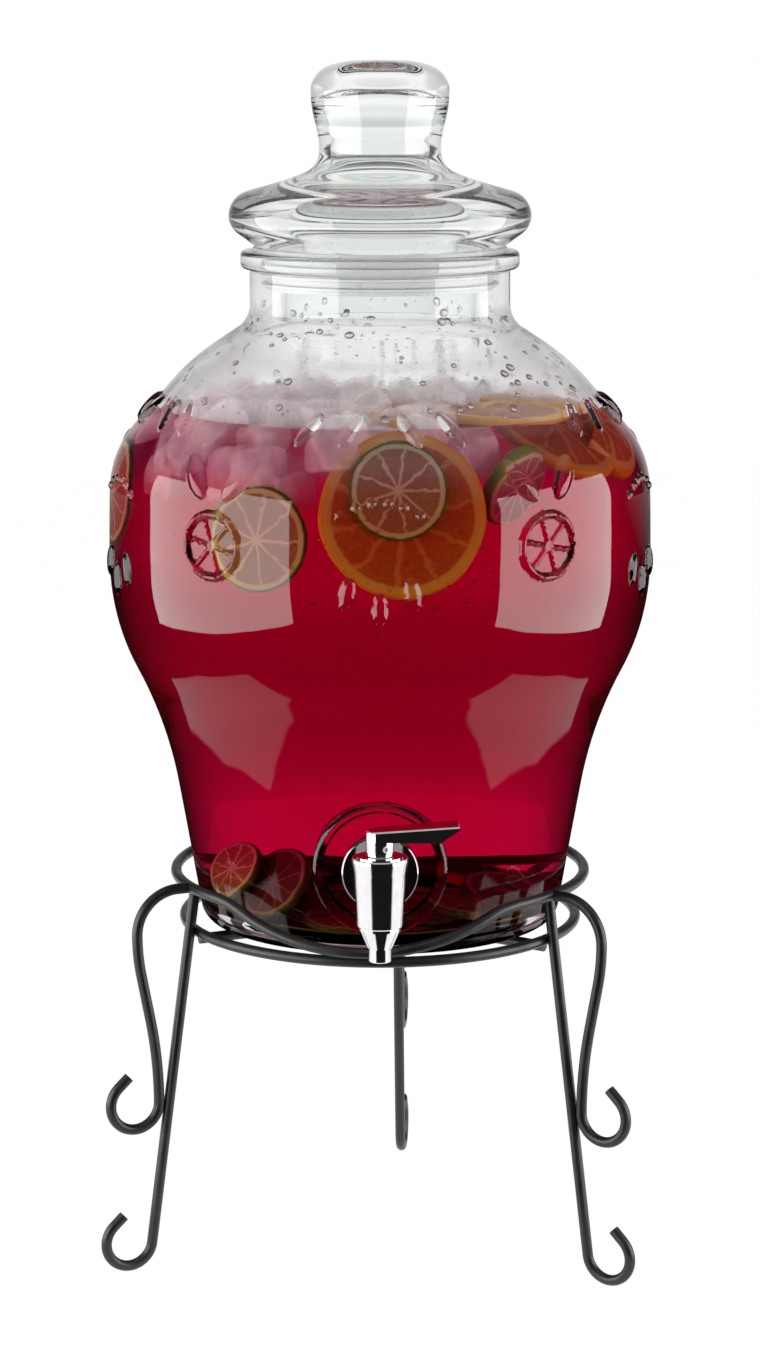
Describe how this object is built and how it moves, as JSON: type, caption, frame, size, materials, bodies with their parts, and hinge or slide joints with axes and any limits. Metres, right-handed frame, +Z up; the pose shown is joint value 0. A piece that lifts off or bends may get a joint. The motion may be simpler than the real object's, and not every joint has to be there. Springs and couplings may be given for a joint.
{
  "type": "glass drink dispenser",
  "caption": "Blown glass drink jar with a hollow glass lid and a quarter-turn tap low on its side, on a black wire stand with scroll legs.",
  "frame": {"origin": "on the table under the jar's axis, at the height of the three ground feet", "axes": "+Z up along the jar's axis, -Y towards the tap, +X along the closed lever"},
  "size_m": [0.2568, 0.2812, 0.56],
  "materials": {
    "stand_wire": "satin black powder coat",
    "jar_glass": "clear, blown, slightly wavy",
    "lid_glass": "clear, pressed, faint green in the thick parts",
    "tap_chrome": "polished chrome plate",
    "gasket_rubber": "matte",
    "nut_steel": "turned",
    "valve_plastic": "smooth acetal",
    "seal_silicone": "translucent silicone"
  },
  "bodies": {
    "stand": {"base_ring": "stand_wire", "gallery_ring": "stand_wire", "left_leg": "stand_wire", "right_leg": "stand_wire", "rear_leg": "stand_wire", "left_scroll": "stand_wire", "right_scroll": "stand_wire", "rear_scroll": "stand_wire", "left_spoke": "stand_wire", "right_spoke": "stand_wire", "rear_spoke": "stand_wire"},
    "jar": {"glass_jar": "jar_glass", "tap_body": "tap_chrome", "tap_nozzle": "tap_chrome", "tap_bonnet": "tap_chrome", "outer_gasket": "gasket_rubber", "inner_gasket": "gasket_rubber", "nut_washer": "nut_steel", "shank_nut": "nut_steel"},
    "valve": {"valve_rotor": "valve_plastic", "lower_oring": "gasket_rubber", "upper_oring": "gasket_rubber", "lever": "tap_chrome", "lever_grub_screw": "nut_steel"},
    "lid": {"lid_glass": "lid_glass", "lid_seal": "seal_silicone"}
  },
  "joints": [
    {"name": "jar_lift", "type": "slide", "parent": "stand", "child": "jar", "axis": [0, 0, 1], "range_m": [0, 0.16]},
    {"name": "lid_lift", "type": "slide", "parent": "jar", "child": "lid", "axis": [0, 0, 1], "range_m": [0, 0.12]},
    {"name": "lever_turn", "type": "hinge", "parent": "jar", "child": "valve", "pos_m": [0, -0.1256, 0.203], "axis": [0, 0, 1], "range_deg": [-90, 0]}
  ]
}
